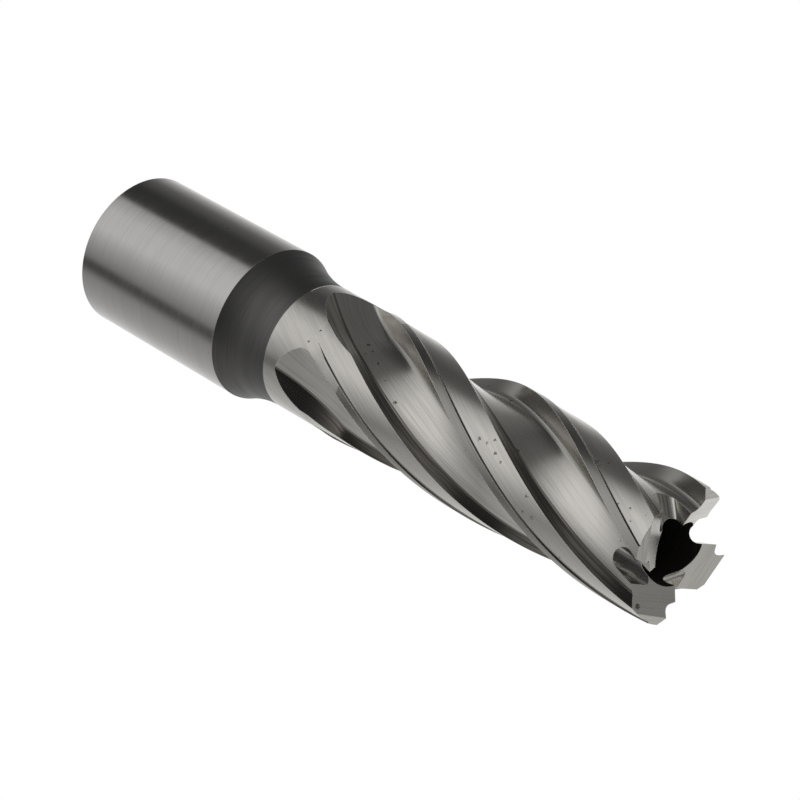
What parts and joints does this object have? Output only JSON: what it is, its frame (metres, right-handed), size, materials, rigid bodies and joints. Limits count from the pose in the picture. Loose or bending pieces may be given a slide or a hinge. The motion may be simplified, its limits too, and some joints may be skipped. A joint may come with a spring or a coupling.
{
  "type": "annular cutter",
  "caption": "Hollow helical-fluted cutter with stepped end teeth and a flatted straight shank, for cutting holes in metal plate and leaving a slug.",
  "frame": {"origin": "centre of the shank's flat rear face", "axes": "+Z along the cutter's axis from the shank to the teeth, +X and +Y out of the two shank flats"},
  "size_m": [0.019, 0.019, 0.0899],
  "materials": {
    "ground_tool_steel": "ground high-speed steel, fine grinding lines"
  },
  "bodies": {
    "root": {"cutter_body": "ground_tool_steel"}
  },
  "joints": []
}
